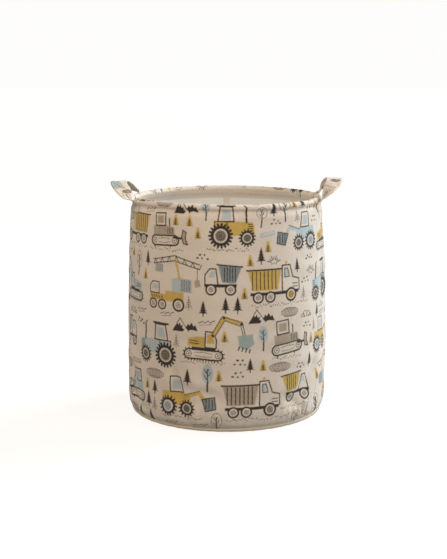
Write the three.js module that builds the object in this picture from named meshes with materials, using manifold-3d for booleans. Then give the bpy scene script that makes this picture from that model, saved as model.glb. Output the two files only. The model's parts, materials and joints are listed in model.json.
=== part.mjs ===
import * as THREE from 'three';
import Module from 'manifold-3d';

// A round, soft fabric storage bin. Millimetres, +Z up, z = 0 on the floor, the front faces -Y.
const RIM_TOP = 432;            // height of the top of the rim bead
const STEPS = 48;               // facets round every ring
const CLEAR = 0.3;              // gap left between neighbouring pieces

// Wall, outer face from the base seam up to the hem stitch line: [radius, height].
const WALL_FACE = [
  [190.2, 7.3], [194.4, 11.6], [197.1, 18], [198.5, 27], [199.0, 60], [198.4, 145],
  [196.9, 240], [194.2, 325], [191.9, 375], [190.1, 405.4],
];
const WALL_CLOTH = 1.0;
const LINING_CLOTH = 0.8;

// Base stack.
const BASE_RADIUS = 185.2;
const BASE_CLOTH = [0, 1.2];
const BOARD = [1.5, 4.0];
const BOARD_RADIUS = 182.8;
const FLOOR_CLOTH = [4.3, 5.1];
const PIPING = { ring: 189.3, r: 3.5 };

// Rim: a cloth casing turned over a tube hoop.
const BEAD = { ring: 183.4, z: RIM_TOP - 6.2, outer: 6.2, inner: 5.0 };
const HEM_OUTSIDE = [[190.1, 405.7], [189.1, 410], [187.7, 414.5], [187.3, 418.5]];
const HEM_OUTSIDE_BACK = [[189.2, 405.7], [188.2, 410], [186.8, 414.6], [186.3, 418.8]];
const HEM_INSIDE_BACK = [[188.7, 405.7], [187.1, 410], [184.1, 414.6], [181.1, 418.8]];
const HEM_INSIDE = [[187.9, 405.7], [186.3, 409.4], [183.3, 413.8], [180.3, 418.0]];
const HOOP = { outer: 4.3, inner: 3.1, gapDeg: 1.0, plug: 2.4, plugDeg: 8 };

// Handles: a strap loop at each side, its ends sewn to the hem 19 degrees either side of the X axis.
const ANCHOR_DEG = 19;
const HINGE = { r: 196.6, z: 427.0 };
const LOOP = {
  lean: 48, reach: 49.6, half: 15, end: 3.5, taper: 18, thick: 2.2,
  footTurn: 16, midTurn: -52, twist: 70, count: 32, // turn of the width out of the loop's plane, degrees
};
const TAB = {
  thick: 2.2, // each row: [radius, height, half-width]
  rows: [[190.45, 406.6, 14.5], [189.9, 412, 14.5], [189.7, 417, 10], [191.8, 422.6, 4.5]],
};
const SEAM_TAPE = { half: 6, thick: 1.1 };

const CANVAS = new THREE.MeshStandardMaterial({ name: 'printed_canvas', color: 0xd8cfc0, roughness: 0.9 });
const LINING = new THREE.MeshStandardMaterial({ name: 'lining', color: 0xf1efe9, roughness: 0.75 });
const TAPE = new THREE.MeshStandardMaterial({ name: 'seam_tape', color: 0xcdbfa6, roughness: 0.9 });
const BOARD_MAT = new THREE.MeshStandardMaterial({ name: 'stiffener', color: 0xa98d68, roughness: 0.9 });
const TUBE = new THREE.MeshStandardMaterial({ name: 'hoop_tube', color: 0xe9e9e6, roughness: 0.5 });

const rad = THREE.MathUtils.degToRad;
const bin = new THREE.Group();
bin.name = 'fabric_storage_bin';

function volumeOf(pos, index) {
  let v = 0;
  for (let i = 0; i < index.length; i += 3) {
    const [a, b, c] = [0, 1, 2].map((k) => pos[index[i + k]]);
    v += a.dot(new THREE.Vector3().crossVectors(b, c));
  }
  return v / 6;
}

// Closed surface from vectors and triangles, turned the right way out.
function solid(pos, index) {
  if (volumeOf(pos, index) < 0) {
    for (let i = 0; i < index.length; i += 3) [index[i], index[i + 1]] = [index[i + 1], index[i]];
  }
  const geo = new THREE.BufferGeometry();
  geo.setAttribute('position', new THREE.Float32BufferAttribute(pos.flatMap((p) => [p.x, p.y, p.z]), 3));
  geo.setIndex(index);
  geo.computeVertexNormals();
  return geo;
}

// Joins matching outlines into one body: looped end to end, or capped at both ends.
function skin(outlines, looped) {
  const n = outlines[0].length;
  const m = outlines.length;
  const index = [];
  for (let i = 0; i < (looped ? m : m - 1); i++) {
    for (let j = 0; j < n; j++) {
      const [a, b] = [i * n + j, i * n + ((j + 1) % n)];
      const [c, d] = [((i + 1) % m) * n + j, ((i + 1) % m) * n + ((j + 1) % n)];
      index.push(a, b, d, a, d, c);
    }
  }
  if (!looped) {
    for (let j = 0; j < n / 2 - 1; j++) {
      for (const [at, flip] of [[0, true], [(m - 1) * n, false]]) {
        const [p, q, r, t] = [at + j, at + j + 1, at + n - 2 - j, at + n - 1 - j];
        index.push(...(flip ? [p, r, q, p, t, r] : [p, q, r, p, r, t]));
      }
    }
  }
  return solid(outlines.flat(), index);
}

const at = (r, deg, z) => new THREE.Vector3(r * Math.cos(rad(deg)), r * Math.sin(rad(deg)), z);

// A closed [radius, height] outline taken all the way round the bin's axis.
function ring(outline) {
  const turns = Array.from({ length: STEPS }, (_, i) => (360 * i) / STEPS);
  return skin(turns.map((deg) => outline.map(([r, z]) => at(r, deg, z))), true);
}

function circle(r, z, size, from, to, count) {
  return Array.from({ length: count }, (_, i) => {
    const a = rad(from + ((to - from) * i) / (count - 1));
    return [r + size * Math.cos(a), z + size * Math.sin(a)];
  });
}

function fullCircle(r, z, size, count) {
  return circle(r, z, size, 0, 360 - 360 / count, count);
}

// Part of a ring, with flat ends.
function arcTube(size, from, to, count) {
  const turns = Array.from({ length: count + 1 }, (_, i) => from + ((to - from) * i) / count);
  const outline = fullCircle(BEAD.ring, BEAD.z, size, 8);
  return skin(turns.map((deg) => outline.map(([r, z]) => at(r, deg, z))), false);
}

const inset = (face, by) => face.map(([r, z]) => [r - by, z]);
const layer = (face, from, thick) => [...inset(face, from), ...inset(face, from + thick).reverse()];

function add(name, geometry, material) {
  const mesh = new THREE.Mesh(geometry, material);
  mesh.name = name;
  bin.add(mesh);
}

function disc(radius, [low, high]) {
  const geo = new THREE.CylinderGeometry(radius, radius, high - low, STEPS);
  return geo.rotateX(Math.PI / 2).translate(0, 0, (low + high) / 2);
}

function hemOutline() {
  return [
    ...HEM_OUTSIDE,
    ...circle(BEAD.ring, BEAD.z, BEAD.outer, -40, 220, 10),
    ...HEM_INSIDE.slice().reverse(),
    ...HEM_INSIDE_BACK,
    ...circle(BEAD.ring, BEAD.z, BEAD.inner, 220, -40, 9),
    ...HEM_OUTSIDE_BACK.slice().reverse(),
  ];
}

// Strap loop: a flat band on an arc that leans out from the rim. Its width lies along the rim at both
// ends and turns to point away from the bin at the middle.
function strap(side) {
  const half = HINGE.r * Math.sin(rad(ANCHOR_DEG));
  const arcR = (half * half + LOOP.reach * LOOP.reach) / (2 * LOOP.reach);
  const lean = new THREE.Vector3(Math.cos(rad(LOOP.lean)), 0, Math.sin(rad(LOOP.lean)));
  const upright = new THREE.Vector3(-Math.sin(rad(LOOP.lean)), 0, Math.cos(rad(LOOP.lean)));
  const foot = new THREE.Vector3(HINGE.r * Math.cos(rad(ANCHOR_DEG)), 0, HINGE.z);
  const reachDeg = THREE.MathUtils.radToDeg(Math.asin(half / arcR));
  const outlines = [];
  for (let i = 0; i <= LOOP.count; i++) {
    const b = rad(-reachDeg + (2 * reachDeg * i) / LOOP.count);
    const v = LOOP.reach - arcR + arcR * Math.cos(b);
    const mid = foot.clone().addScaledVector(lean, v).setY(arcR * Math.sin(b));
    const along = lean.clone().multiplyScalar(-Math.sin(b)).setY(Math.cos(b));
    const outward = lean.clone().multiplyScalar(Math.cos(b)).setY(Math.sin(b));
    const toEnd = arcR * (rad(reachDeg) - Math.abs(b));
    const turn = THREE.MathUtils.smoothstep(toEnd, 0, LOOP.twist);
    const phi = rad(LOOP.footTurn + (LOOP.midTurn - LOOP.footTurn) * turn);
    const width = outward.multiplyScalar(Math.cos(phi)).addScaledVector(upright, Math.sin(phi));
    const face = new THREE.Vector3().crossVectors(along, width);
    const hw = LOOP.end + (LOOP.half - LOOP.end) * THREE.MathUtils.smoothstep(toEnd, 0, LOOP.taper);
    const acrossBand = (w, t) => {
      const p = mid.clone().addScaledVector(width, w * hw).addScaledVector(face, (t * LOOP.thick) / 2);
      return p.setX(p.x * side);
    };
    const stations = [-1, -0.5, 0, 0.5, 1];
    outlines.push([...stations.map((w) => acrossBand(w, -1)), ...stations.map((w) => acrossBand(-w, 1))]);
  }
  return skin(outlines, false);
}

// Patch lying against the hem: a [radius, height] path given thickness, swept a little way round.
function patch(deg, half, path, thick) {
  const outline = [...path, ...inset(path, -thick).reverse()];
  const swing = THREE.MathUtils.radToDeg(half / path[0][0]);
  const turns = Array.from({ length: 5 }, (_, i) => deg - swing + (swing * i) / 2);
  return skin(turns.map((a) => outline.map(([r, z]) => at(r, a, z))), false);
}

// Sewn-down strap end: wraps the hem, narrowing to the foot of its loop.
function tab(deg) {
  return skin(TAB.rows.map(([r, z, half]) => {
    const swing = THREE.MathUtils.radToDeg(half / r);
    const turns = [-1, -0.5, 0, 0.5, 1].map((k) => deg + k * swing);
    return [...turns.map((a) => at(r, a, z)), ...turns.reverse().map((a) => at(r + TAB.thick, a, z))];
  }), false);
}

function tube(wasm, outer, inner) {
  const toManifold = (geo) => new wasm.Manifold(new wasm.Mesh({
    numProp: 3,
    vertProperties: Float32Array.from(geo.attributes.position.array),
    triVerts: Uint32Array.from(geo.index.array),
  }));
  const cut = toManifold(outer).subtract(toManifold(inner)).getMesh();
  const pos = [];
  for (let i = 0; i < cut.vertProperties.length; i += cut.numProp) {
    pos.push(new THREE.Vector3(...cut.vertProperties.slice(i, i + 3)));
  }
  return solid(pos, Array.from(cut.triVerts));
}

const wasm = await Module();
wasm.setup();

// Base: outer cloth, stiffening board, floor lining, and the rolled seam round the edge.
add('base_outer', disc(BASE_RADIUS, BASE_CLOTH), CANVAS);
add('base_board', disc(BOARD_RADIUS, BOARD), BOARD_MAT);
add('base_lining', disc(BASE_RADIUS, FLOOR_CLOTH), LINING);
add('base_seam_roll', ring(fullCircle(PIPING.ring, PIPING.r, PIPING.r, 10)), TAPE);

// Wall: printed canvas outside, coated lining inside, a bound seam up the back.
const liningFace = inset(WALL_FACE, WALL_CLOTH + CLEAR);
add('wall_outer', ring(layer(WALL_FACE, 0, WALL_CLOTH)), CANVAS);
add('wall_lining', ring(layer(liningFace, 0, LINING_CLOTH)), LINING);
const tapeFace = inset(liningFace, LINING_CLOTH + CLEAR + 0.6 + SEAM_TAPE.thick).slice(1);
add('side_seam_tape', patch(90, SEAM_TAPE.half, tapeFace, SEAM_TAPE.thick), TAPE);

// Rim: hem casing, the tube hoop inside it, and the plug that joins the tube's ends.
const [hoopFrom, hoopTo] = [90 + HOOP.gapDeg, 450 - HOOP.gapDeg];
add('rim_hem', ring(hemOutline()), CANVAS);
add('rim_hoop', tube(wasm, arcTube(HOOP.outer, hoopFrom, hoopTo, STEPS),
  arcTube(HOOP.inner, hoopFrom - 0.5, hoopTo + 0.5, STEPS)), TUBE);
add('hoop_plug', arcTube(HOOP.plug, 90 - HOOP.plugDeg, 90 + HOOP.plugDeg, 6), TUBE);

// Handles: one loop each side and the four sewn-down strap ends.
add('handle_right_strap', strap(1), CANVAS);
add('handle_left_strap', strap(-1), CANVAS);
for (const [name, deg] of [['right_front', -ANCHOR_DEG], ['right_back', ANCHOR_DEG],
  ['left_front', 180 + ANCHOR_DEG], ['left_back', 180 - ANCHOR_DEG]]) {
  add(`tab_${name}`, tab(deg), CANVAS);
}

export default bin;
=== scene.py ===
import json
import math

import bpy
import numpy as np
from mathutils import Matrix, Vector


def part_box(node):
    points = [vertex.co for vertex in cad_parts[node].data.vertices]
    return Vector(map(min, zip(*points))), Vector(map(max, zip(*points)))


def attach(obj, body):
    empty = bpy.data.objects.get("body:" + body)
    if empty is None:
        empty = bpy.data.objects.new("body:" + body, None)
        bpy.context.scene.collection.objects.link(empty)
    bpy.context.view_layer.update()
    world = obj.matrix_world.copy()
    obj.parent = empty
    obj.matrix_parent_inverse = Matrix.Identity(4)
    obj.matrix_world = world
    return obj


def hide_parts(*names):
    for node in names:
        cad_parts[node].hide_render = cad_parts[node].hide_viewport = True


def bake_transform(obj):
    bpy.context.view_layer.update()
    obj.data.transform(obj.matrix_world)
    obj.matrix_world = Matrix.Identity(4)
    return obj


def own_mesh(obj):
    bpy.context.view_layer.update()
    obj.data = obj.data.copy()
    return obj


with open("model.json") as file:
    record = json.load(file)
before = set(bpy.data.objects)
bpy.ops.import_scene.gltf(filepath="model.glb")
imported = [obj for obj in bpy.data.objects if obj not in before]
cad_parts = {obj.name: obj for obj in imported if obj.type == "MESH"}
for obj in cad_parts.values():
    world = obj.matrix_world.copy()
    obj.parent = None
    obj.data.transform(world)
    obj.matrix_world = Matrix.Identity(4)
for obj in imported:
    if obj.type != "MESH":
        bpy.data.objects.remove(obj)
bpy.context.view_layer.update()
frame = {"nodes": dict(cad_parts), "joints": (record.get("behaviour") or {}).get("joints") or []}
rng = np.random.default_rng(7)

# ---- sizes, in metres
JOINTS = {joint["name"]: joint for joint in frame["joints"]}
RIM_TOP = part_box("rim_hem")[1].z
HEM_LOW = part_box("rim_hem")[0].z
HINGE_X, _, HINGE_Z = JOINTS["handle_right_swing"]["pos_m"]
# the wall's profile as (radius, height), from the base seam up to the hem
WALL = [(0.1882, 0.0050), (0.1906, 0.0072), (0.1944, 0.0116), (0.1971, 0.018), (0.1985, 0.027),
        (0.1990, 0.060), (0.1984, 0.145), (0.1969, 0.240), (0.1942, 0.325), (0.1919, 0.375), (0.1901, 0.4057)]
BEAD = 0.0062  # radius of the round hem over the hoop
BEAD_R, BEAD_Z = 0.1834, RIM_TOP - BEAD
CLOTH_R = 0.1965  # radius at which distances round the cloth are measured
GIRTH = 2 * math.pi * CLOTH_R
REPEAT = 0.620  # the print's repeat round the wall

# ---- the print's colours
CLOTH = (0.800, 0.705, 0.590)
INK = (0.018, 0.011, 0.006)
SOFT = (0.15, 0.105, 0.065)  # thin, washed-out ink
RUBBER = (0.15, 0.125, 0.095)
MUSTARD = (0.62, 0.40, 0.045)
SLATE = (0.17, 0.235, 0.26)
BLUE = (0.46, 0.56, 0.57)
TEAL = (0.31, 0.42, 0.385)
TAUPE = (0.42, 0.335, 0.24)


# ---- the print, in millimetres
class Print:
    """A print repeat drawn as soft-edged shapes on a fine grid: x round the wall, y up it."""

    def __init__(self, width, height, cell):
        self.cell, self.nx, self.ny = cell, int(round(width / cell)), int(round(height / cell))
        self.rgb = np.zeros((self.ny, self.nx, 3), np.float32)
        self.a = np.zeros((self.ny, self.nx), np.float32)

    def window(self, pts, pad):
        """The grid cells round some points, and the cells' places."""
        pts = np.array(pts, float)
        lo, hi = pts.min(0) - pad, pts.max(0) + pad
        ix = np.arange(int(lo[0] // self.cell), int(hi[0] // self.cell) + 2)
        iy = np.arange(max(0, int(lo[1] // self.cell)), min(self.ny, int(hi[1] // self.cell) + 2))
        x, y = np.meshgrid((ix + 0.5) * self.cell, (iy + 0.5) * self.cell)
        return np.ix_(iy, ix % self.nx), x, y

    def paint(self, at, x, y, d, colour):
        """Lays colour (None wipes it off) where d, the distance outside the shape, is below zero."""
        if colour in (INK, SOFT, None):
            cover = np.clip(0.5 - d / (1.3 * self.cell), 0, 1)
        else:  # thin brushed paint: ragged edge and streaks
            rag = 0.35 * np.sin(2.1 * x + 0.7 * y) + 0.3 * np.sin(1.7 * y - 0.9 * x)
            streak = np.sin(1.9 * y + 0.35 * x + 2.2 * np.sin(0.17 * x)) * np.sin(0.45 * x - 0.3 * y)
            pool = np.sin(0.31 * x + 0.2 * y) * np.sin(0.27 * y - 0.12 * x)
            cover = np.clip(0.5 - (d + rag) / 1.5, 0, 1) * (0.90 + 0.06 * streak + 0.04 * pool)
        if colour is None:
            self.a[at] *= 1 - cover
            return
        a = self.a[at]
        out = cover + a * (1 - cover)
        mix = np.where(out > 1e-6, cover / np.maximum(out, 1e-6), 0)[..., None]
        self.rgb[at] = self.rgb[at] * (1 - mix) + np.array(colour) * mix
        self.a[at] = out

    def bare(self, x0, y0, x1, y1):
        """True where nothing is drawn yet in a box."""
        ix = np.arange(int(x0 // self.cell), int(x1 // self.cell) + 1) % self.nx
        iy = np.arange(max(0, int(y0 // self.cell)), min(self.ny, int(y1 // self.cell) + 1))
        return not self.a[np.ix_(iy, ix)].any()

    @staticmethod
    def from_line(x, y, pts, closed):
        """Distance of each cell from a line through pts."""
        d = np.full(x.shape, 1e9)
        for (ax, ay), (bx, by) in zip(pts, pts[1:] + pts[:1] if closed else pts[1:]):
            ex, ey = bx - ax, by - ay
            t = np.clip(((x - ax) * ex + (y - ay) * ey) / max(ex * ex + ey * ey, 1e-9), 0, 1)
            d = np.minimum(d, np.hypot(x - ax - t * ex, y - ay - t * ey))
        return d

    def line(self, pts, width, colour, closed=False):
        """A hand-drawn line, a little uneven along its length."""
        at, x, y = self.window(pts, width + 1)
        wobble = (0.16 * np.sin(x * 0.9 + y * 0.55) + 0.12 * np.sin(y * 1.3 - x * 0.4)) * min(1, width / 1.5)
        self.paint(at, x, y, self.from_line(x, y, pts, closed) - width / 2 + wobble, colour)

    def fill(self, pts, colour):
        at, x, y = self.window(pts, 1.5)
        inside = np.zeros(x.shape, bool)
        for (ax, ay), (bx, by) in zip(pts, pts[1:] + pts[:1]):
            cross = (ay > y) != (by > y)
            inside ^= cross & (x < (bx - ax) * (y - ay) / (by - ay if by != ay else 1e-9) + ax)
        d = self.from_line(x, y, pts, True)
        self.paint(at, x, y, np.where(inside, -d, d), colour)

    def disc(self, c, r, colour, ry=None):
        ry = ry or r
        at, x, y = self.window([c], max(r, ry) + 1)
        d = np.hypot((x - c[0]) / r, (y - c[1]) / ry) * min(r, ry) - min(r, ry)
        self.paint(at, x, y, d, colour)


CELL = 0.6  # the grid's cell
WIDE = 1000 * REPEAT
wall_print = Print(WIDE, 480, CELL)
strap_print = Print(200, 260, CELL)
art = wall_print  # the sheet being drawn on
BRUSH = 1.22  # how much thicker the brush is than a motif's own line widths


def polar(x, y, r, a, ry=None):
    """The point at angle a on a circle or an upright oval."""
    return (x + r * math.cos(a), y + (ry or r) * math.sin(a))


def ring(x, y, r, n, ry=None):
    return [polar(x, y, r, a, ry) for a in np.linspace(0, 2 * math.pi, n, endpoint=False)]


class Pen:
    """Draws in a motif's own units, placed, scaled, mirrored and tilted."""

    def __init__(self, x, y, k=1.0, flip=1, turn=0.0):
        self.x, self.y, self.k, self.flip, self.turn = x, y, k, flip, math.radians(turn)

    def at(self, x, y):
        x, y = x * self.k * self.flip, y * self.k
        c, s = math.cos(self.turn), math.sin(self.turn)
        return (self.x + x * c - y * s, self.y + x * s + y * c)

    def line(self, pts, width=1.7, colour=INK, closed=False):
        art.line([self.at(*p) for p in pts], width * BRUSH * min(1.15, max(0.8, self.k)), colour, closed)

    def fill(self, pts, colour, edge=None):
        art.fill([self.at(*p) for p in pts], colour)
        if edge:
            self.line(pts, edge, INK, True)

    def disc(self, x, y, r, colour):
        art.disc(self.at(x, y), r * self.k, colour)

    def box(self, x0, y0, x1, y1, colour, edge=None):
        self.fill([(x0, y0), (x1, y0), (x1, y1), (x0, y1)], colour, edge)

    def tyre(self, x, y, r, hub=None, nubs=0):
        """A wheel: a knobbly tyre if it has nubs, a pale ring and a brushed hub."""
        self.disc(x, y, r, INK)
        for i in range(nubs):
            a = 2 * math.pi * i / nubs
            self.line([polar(x, y, k * r, a) for k in (0.9, 1.16)], 0.19 * r)
        self.disc(x, y, 0.70 * r, None)
        self.disc(x, y, 0.56 * r, hub)
        for k in (0.38, 0.15):
            self.line(ring(x, y, k * r, 12), 0.8, INK, True)

    def hatch(self, x0, y0, x1, y1, n, width=1.0, colour=INK):
        for i in range(n):
            x = x0 + (x1 - x0) * (i + 0.5) / n
            self.line([(x, y0), (x, y1)], width, colour)

    def cleat(self, x, y, a, tall):
        """A track's cleat at angle a from the end wheel's middle."""
        self.line([polar(x, y, tall, a), polar(x, y, tall + 3, a)], 1.5)

    def track(self, x, y, half, tall, cleats=30):
        """A crawler track: a thick band with cleats all round, and a wheel at each end."""
        run = half - tall
        band = [(ax + (run if ax > x else -run), ay) for ax, ay in ring(x, y, tall, 60)]
        self.fill(band, None)
        self.line(band, 2.3, INK, True)
        bend = math.pi * tall
        length = 4 * run + 2 * bend
        for i in range(cleats):
            s = length * i / cleats
            if s < 2 * run:
                self.cleat(x - run + s, y, -math.pi / 2, tall)
            elif s < 2 * run + bend:
                self.cleat(x + run, y, (s - 2 * run) / tall - math.pi / 2, tall)
            elif s < length - bend:
                self.cleat(x + run - (s - 2 * run - bend), y, math.pi / 2, tall)
            else:
                self.cleat(x - run, y, (s - 4 * run - bend) / tall + math.pi / 2, tall)
        for s in (-1, 1):
            self.line(ring(x + s * run, y, 0.55 * tall, 12), 0.9, INK, True)
            self.disc(x + s * run, y, 1.3, INK)
            slot = [(x - run * 0.6, y + 0.35 * s * tall), (x, y + 0.5 * s * tall)]
            self.line(slot + [(x + run * 0.6, y + 0.3 * s * tall)], 0.8, SOFT)


def fir(x, y, h, style=0):
    """A fir: 0 brushed solid tiers, 1 bare branches, 2 a mustard patch with a small ink fir on it."""
    q = Pen(x, y, h / 40)
    if style == 0:
        q.line([(0, -20), (0, 8)], 2.4)
        for i in range(4):
            w, z = 5.0 + 2.4 * i, 9 - 6.6 * i
            q.fill([(-w, z - 3.5), (-w * 0.55, z + 2), (0, z + 11), (w * 0.55, z + 2), (w, z - 3.5),
                    (w * 0.5, z - 1.8), (0, z - 3.5), (-w * 0.5, z - 1.8)], INK)
    elif style == 1:
        q.line([(0, -20), (0, 19)], 1.3, SOFT)
        for i in range(4):
            w, z = 3.5 + 2.4 * i, 10 - 6 * i
            q.line([(-w, z - w * 0.7), (0, z), (w, z - w * 0.7)], 1.3, SOFT)
    else:
        q.fill([(-11, -13), (-3, 20), (3, 20), (12, -13)], MUSTARD)
        q.line([(0, -13), (0, 8)], 1.4)
        for w, z in ((2.5, 3), (4, -3), (5.2, -9)):
            q.line([(-w, z - 2), (0, z + 2), (w, z - 2)], 1.5)


def tree(x, y, h, crown=None, turn=0, rounded=False):
    """A leafy tree: an oval or round crown, painted or in outline, with its branches showing."""
    q = Pen(x, y, h / 50, 1, turn)
    rx, ry = (13, 13) if rounded else (10.5, 17)
    oval = ring(0, 8, rx, 25, ry)
    if crown:
        q.fill(oval, crown)
    else:
        q.line(oval, 1.0, SOFT, True)
    q.line([(0, -25), (0.6, -8)], 2.6)
    q.line([(0.6, -8), (-0.4, 16)], 1.7)
    for i, z in enumerate((-3, 3, 8)):
        s = 1 if i % 2 else -1
        q.line([(0, z), (s * 3.5, z + 3), (s * 5.5, z + 8)], 1.3)
    q.line([(0, 12), (3, 17)], 1.1)


def dots(x, y, w, n, seed):
    """A few loose ink pebbles."""
    r = np.random.default_rng(seed + 31)
    for i in range(n):
        at = (x + w * ((i + 0.5) / n - 0.5) + 2 * r.random(), y + 6.5 * (i % 2) + 3 * r.random())
        art.disc(at, 1.5 + 1.3 * r.random(), INK, 1.4 + 0.8 * r.random())


def ground(x, y, w, seed):
    """Loose grit under a machine."""
    r = np.random.default_rng(seed + 5)
    at = -w / 2
    while at < w / 2:
        run = 2 + 5 * r.random()
        art.disc((x + at, y - 3 + 6 * r.random()), 0.85 + 0.5 * r.random(), SOFT)
        at += 1.6 + 0.45 * run


def boulder(x, y, w, h, seed):
    """A scribbled boulder: a lumpy outline round rows of small loops."""
    r = np.random.default_rng(seed + 77)
    outline = []
    for a in np.linspace(0, 2 * math.pi, 18, endpoint=False):
        across = w / 2 * math.cos(a) * (0.92 + 0.12 * r.random())
        outline.append((x + across, y + h / 2 * math.sin(a) * (0.92 + 0.12 * r.random())))
    art.line(outline, 1.3, SOFT, True)
    for i in range(4):
        z = (i - 1.5) / 2.2
        reach = w * 0.44 * math.sqrt(1 - z * z)
        scribble = []
        for u in np.linspace(-1, 1, 34):
            loop = (1.4 * math.sin(40 * u), 1.7 * math.cos(27 * u + i))
            scribble.append((x + reach * u + loop[0], y + h / 2 * z + loop[1]))
        art.line(scribble, 1.0, SOFT)


def cloud(x, y, k, colour=None):
    """A cloud of four lumps, painted or in outline."""
    out = []
    for cx, cy, r in ((-13, 0, 6), (-4, 4, 8), (7, 3, 7), (14, -1, 5)):
        out += [polar(x + k * cx, y + k * cy, k * r, a) for a in np.radians(np.linspace(190, -10, 9))]
    if colour:
        art.fill(out, colour)
    else:
        art.line(out, 1.2, INK, True)


def peaks(x, y, k):
    """A peak with one inked face and a jagged snow line, and two low hills beside it."""
    q = Pen(x - 5, y, k)
    q.line([(-4, 27), (15, 1)], 1.3)
    q.fill([(-22, 0), (-11, 17), (-8, 13), (-5, 18), (-2, 11), (2, 14), (1, 7), (6, 5), (2, 0)], INK)
    q.line([(-11, 17), (-4, 27)], 1.4)
    q.fill([(8, 8), (14, 17), (17, 13), (21, 20), (25, 12), (29, 15), (34, 3), (22, 5), (14, 3)], INK)


def log(x, y, w, turn=0, colour=TAUPE, half=3.9):
    """One dry brush stroke."""
    q = Pen(x, y, 1, 1, turn)
    q.box(-w / 2, -half, w / 2, half, colour)
    q.line([(-w * 0.4, -1), (w * 0.42, 0.6)], 1.0, None)
    q.line([(-w * 0.3, 1.8), (w * 0.3, 2.4)], 0.8, None)


def burst(x, y, k, turn):
    """A fan of short strokes over three dots."""
    q = Pen(x, y, k, 1, turn)
    for i in range(7):
        a = math.radians(18 + 24 * i)
        q.line([polar(0, 0, r, a) for r in ((8, 12.5) if i % 2 else (7, 15))], 1.5)
    for i in range(3):
        q.disc(-5 + 5 * i, -1 + (i % 2), 1.3, INK)


def dashes(x, y, k, turn):
    """A row of dashes over a thin line."""
    q = Pen(x, y, k, 1, turn)
    for i in range(6):
        q.line([(-15 + 6 * i, -1 + (i % 2) * 2), (-11.5 + 6 * i, (i % 2) * 2)], 1.6)
    q.line([(-13, -6), (13, -5)], 0.9, SOFT)


def digger(x, y, k, flip, body, bucket, turn=0):
    """A crawler digger: track, deck, house, cab, boom, arm and bucket."""
    q = Pen(x, y, k, flip, turn)
    q.track(0, 8, 31, 7.5)
    q.box(-19, 15.5, 19, 19.5, INK)
    q.fill([(-27, 20), (6, 20), (6, 37), (-10, 37), (-20, 34), (-27, 32)], body)
    q.fill([(2, 20), (20, 20), (20, 34), (14, 46), (2, 46)], None, 1.7)
    q.fill([(5, 27), (16.5, 27), (16.5, 34), (12, 42.5), (5, 42.5)], body)
    q.line([(-23, 25), (-8, 25)], 1.2)
    q.line([(-23, 29), (-10, 29)], 1.2)
    foot, elbow, wrist = (14, 40), (30, 70), (58.4, 61)
    q.line([foot, elbow], 5.6, body)
    q.line([elbow, wrist], 5.2, body)
    for shifts in (((-2.6, 1.5), (-2.8, 2.5), (1, 3)), ((3, -1), (1.5, -4), (-3, -3))):
        q.line([(a + da, b + db) for (a, b), (da, db) in zip((foot, elbow, wrist), shifts)], 1.1)
    hang = (wrist[0] + 7, wrist[1] - 25)
    q.line([wrist, hang], 4.0, INK)
    q.line([wrist, hang], 1.6, None)
    scoop = ((-13, 6), (12, 9), (15, -7), (4, -17), (-8, -13))
    q.fill([(hang[0] + a, hang[1] + b) for a, b in scoop], bucket)
    for i in range(4):
        a, b = hang[0] - 9 + 6 * i, hang[1] - 12 - 1.2 * i
        q.line([(a, b), (a - 1, b - 5)], 1.8)
    for pin in (foot, elbow, wrist):
        q.disc(*pin, 2.1, INK)


def tipper(x, y, k, flip, bed):
    """A tip truck: bonnet and cab in outline, slatted bed, three wheels."""
    q = Pen(x, y, k, flip)
    q.fill([(4, 52), (62, 52), (54, 20), (10, 20)], bed)
    q.hatch(11, 22, 58, 50, 7, 1.5)
    q.line([(2, 53), (64, 53)], 2.2)
    q.fill([(-34, 16), (2, 16), (2, 58), (-14, 58), (-20, 38), (-34, 34)], None, 1.8)
    q.fill([(-13, 39), (-3, 39), (-3, 53), (-9, 53)], BLUE, 1.3)
    q.line([(-30, 27), (-20, 27)], 1.3)
    q.line([(-30, 22), (-20, 22)], 1.3)
    q.disc(-6, 62, 2.4, MUSTARD)
    q.box(-32, 12, 58, 17, INK)
    q.tyre(-16, 10, 11.5, bed)
    q.tyre(24, 9, 9.5)
    q.tyre(45, 9, 9.5)
    ground(x, y - 4 * k, 110 * k, abs(x))


def crane(x, y, k, flip):
    """A truck crane: cab, engine house, lattice boom and its ram, hook block and load."""
    q = Pen(x, y, k, flip)
    q.fill([(-8, 22), (66, 22), (66, 34), (30, 34), (30, 40), (-8, 40)], MUSTARD)
    for i in range(5):
        q.line([(36 + 6 * i, 26), (39 + 6 * i, 30)], 1.6)
    q.fill([(44, 34), (66, 34), (66, 46), (60, 54), (44, 54)], None, 1.6)
    q.fill([(47, 41), (62, 41), (58, 50), (47, 50)], BLUE)
    q.fill([(-24, 40), (16, 40), (16, 62), (2, 66), (-24, 62)], BLUE)
    q.hatch(-22, 42, -2, 62, 6, 1.0)
    lower, upper = [(-38, 82), (10, 94), (58, 86)], [(-38, 90), (10, 103), (58, 93)]
    q.line(lower, 1.5)
    q.line(upper, 1.5)
    for i in range(13):
        across = -38 + 8 * i
        low, high = (np.interp(across, *zip(*chord)) for chord in (lower, upper))
        q.line([(across, low), (across + (4 if i % 2 else -4), high)], 1.1)
    q.line([(0, 64), (8, 95)], 3.4, MUSTARD)
    q.line([(-34, 84), (-34, 62)], 1.0)
    q.fill([(-40, 52), (-30, 50), (-29, 62), (-38, 64)], TAUPE)
    q.box(36, 72, 54, 86, SLATE)
    q.hatch(38, 73, 53, 85, 3, 1.1, CLOTH)
    q.tyre(2, 17, 12)
    q.tyre(37, 15, 9.5)
    q.tyre(58, 15, 9.5)


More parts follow.
